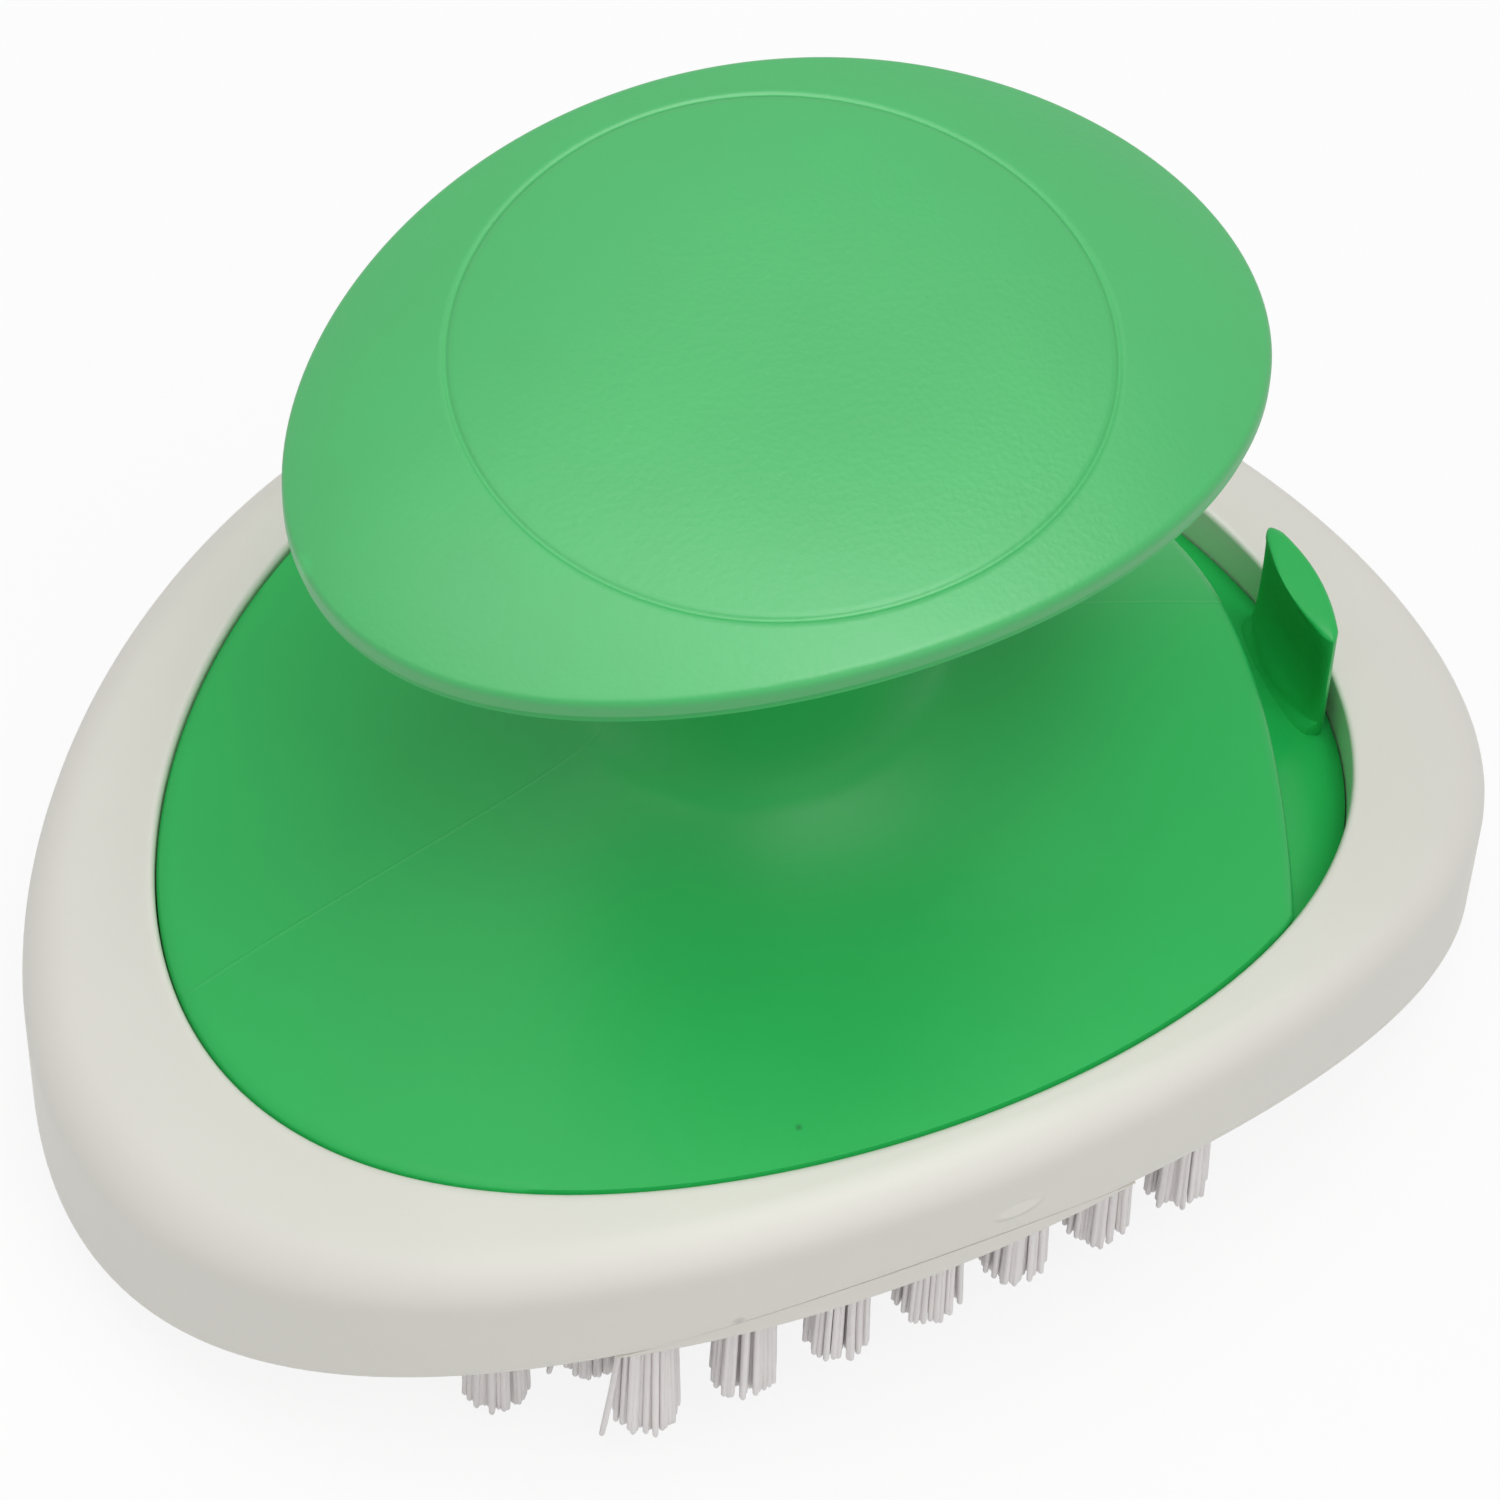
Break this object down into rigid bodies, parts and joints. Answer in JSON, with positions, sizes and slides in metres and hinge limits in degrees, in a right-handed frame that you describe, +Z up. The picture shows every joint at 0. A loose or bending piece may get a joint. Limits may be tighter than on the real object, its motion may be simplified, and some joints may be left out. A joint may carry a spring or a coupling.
{
  "type": "vegetable brush",
  "caption": "Palm-held vegetable brush: domed oval cap on a waisted handle, in an arched egg-shaped frame with stiff bristle tufts below and a sprung latch tab at one end.",
  "frame": {"origin": "under the middle of the base, in the plane of the lowest bristle tips", "axes": "+X along the brush to the latch end, +Y across it, +Z up through the cap"},
  "size_m": [0.0988, 0.0714, 0.069],
  "materials": {
    "white_frame": "fine matte moulding, warm white",
    "white_plate": "fine matte moulding, warm white",
    "green_body": "smooth satin moulding, mid green",
    "green_cap": "fine grained satin, light green",
    "bristle_nylon": "stiff translucent white filaments",
    "anchor_wire": "flat drawn wire"
  },
  "bodies": {
    "brush": {"frame_ring": "white_frame", "bristle_plate": "white_plate", "handle_body": "green_body", "palm_cap": "green_cap", "tuft_row_01": "bristle_nylon", "tuft_row_02": "bristle_nylon", "tuft_row_03": "bristle_nylon", "tuft_row_04": "bristle_nylon", "tuft_row_05": "bristle_nylon", "tuft_row_06": "bristle_nylon", "tuft_row_07": "bristle_nylon", "tuft_row_08": "bristle_nylon", "tuft_row_09": "bristle_nylon", "tuft_row_10": "bristle_nylon", "tuft_row_11": "bristle_nylon", "tuft_row_12": "bristle_nylon", "tuft_row_13": "bristle_nylon", "tuft_anchors": "anchor_wire"},
    "latch": {"latch_tab": "green_body"}
  },
  "joints": [
    {"name": "latch_flex", "type": "hinge", "parent": "brush", "child": "latch", "pos_m": [0.036, 0, 0.01778], "axis": [0, -1, 0], "range_deg": [0, 12], "stiffness_Nm_per_rad": 0.55}
  ]
}
